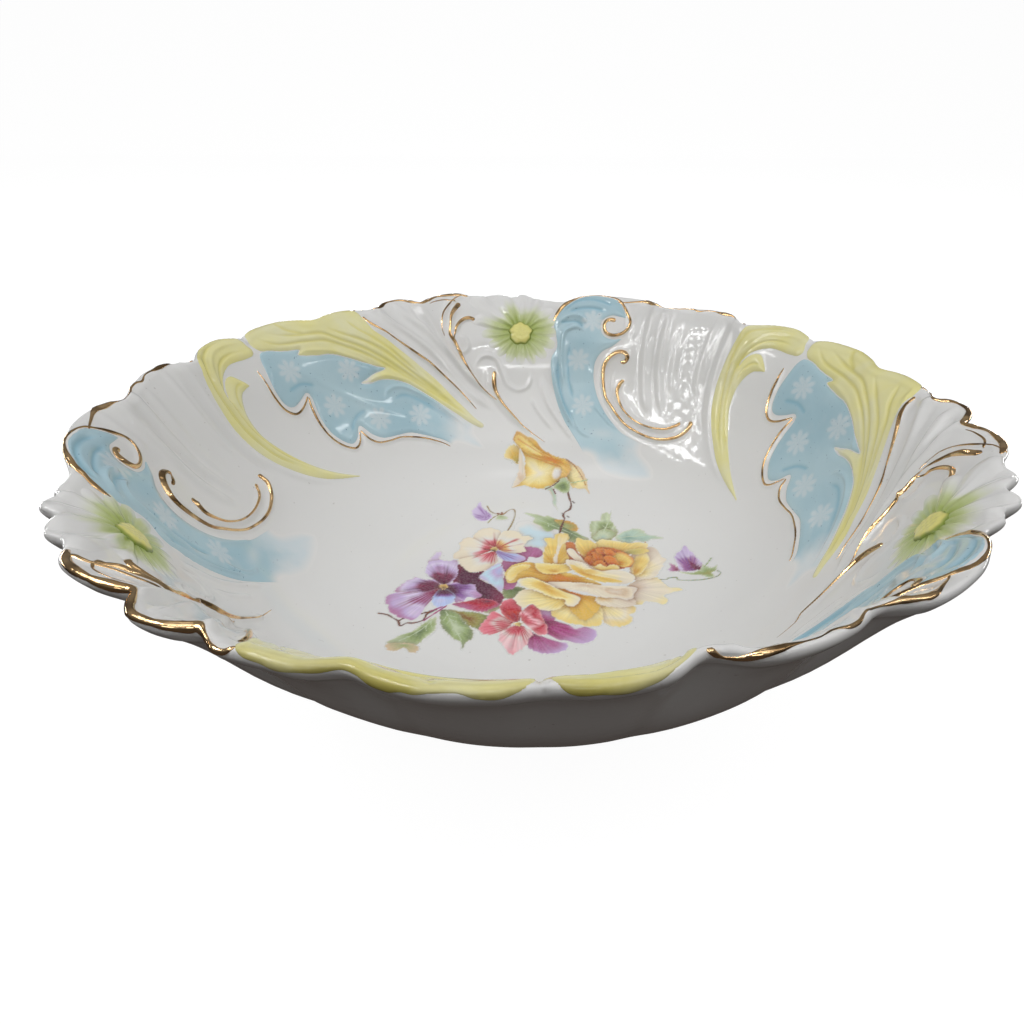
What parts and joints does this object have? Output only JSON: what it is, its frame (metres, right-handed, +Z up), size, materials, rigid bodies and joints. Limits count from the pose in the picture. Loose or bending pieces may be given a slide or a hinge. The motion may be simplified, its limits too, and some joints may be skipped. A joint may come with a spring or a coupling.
{
  "type": "porcelain serving bowl",
  "caption": "Round shallow serving bowl with a scalloped, moulded and gilded rim, relief daisies and leaves, and a printed rose and pansy spray in the well.",
  "frame": {"origin": "centre of the foot ring, on the flat it stands on", "axes": "+Z up out of the bowl's mouth, +Y towards the first daisy on the rim"},
  "size_m": [0.2624, 0.2628, 0.0773],
  "materials": {
    "porcelain_white": "gloss",
    "foot_porcelain": "gloss",
    "daisy_porcelain": "gloss",
    "yellow_boss": "gloss",
    "blue_enamel": "gloss",
    "yellow_enamel": "gloss",
    "gilding": "polished",
    "rose_print": "gloss",
    "rosebud_print": "gloss",
    "white_pansy_print": "gloss",
    "violet_pansy_print": "gloss",
    "pink_pansy_print": "gloss",
    "leaf_print": "gloss"
  },
  "bodies": {
    "root": {"bowl_body": "porcelain_white", "foot_ring": "foot_porcelain", "daisy_1": "daisy_porcelain", "daisy_2": "daisy_porcelain", "daisy_3": "daisy_porcelain", "daisy_boss_1": "yellow_boss", "daisy_boss_2": "yellow_boss", "daisy_boss_3": "yellow_boss", "blue_scroll_1": "blue_enamel", "blue_scroll_2": "blue_enamel", "blue_scroll_3": "blue_enamel", "blue_leaf_1": "blue_enamel", "blue_leaf_2": "blue_enamel", "blue_leaf_3": "blue_enamel", "yellow_acanthus_1": "yellow_enamel", "yellow_acanthus_2": "yellow_enamel", "yellow_acanthus_3": "yellow_enamel", "yellow_leaf_1": "yellow_enamel", "yellow_leaf_2": "yellow_enamel", "yellow_leaf_3": "yellow_enamel", "scroll_gilding_1": "gilding", "scroll_gilding_2": "gilding", "scroll_gilding_3": "gilding", "leaf_gilding_1": "gilding", "leaf_gilding_2": "gilding", "leaf_gilding_3": "gilding", "rim_gilding_1": "gilding", "rim_gilding_2": "gilding", "rim_gilding_3": "gilding", "printed_rose": "rose_print", "printed_rosebud": "rosebud_print", "printed_white_pansy": "white_pansy_print", "printed_violet_pansy": "violet_pansy_print", "printed_pink_pansy": "pink_pansy_print", "printed_leaves": "leaf_print"}
  },
  "joints": []
}
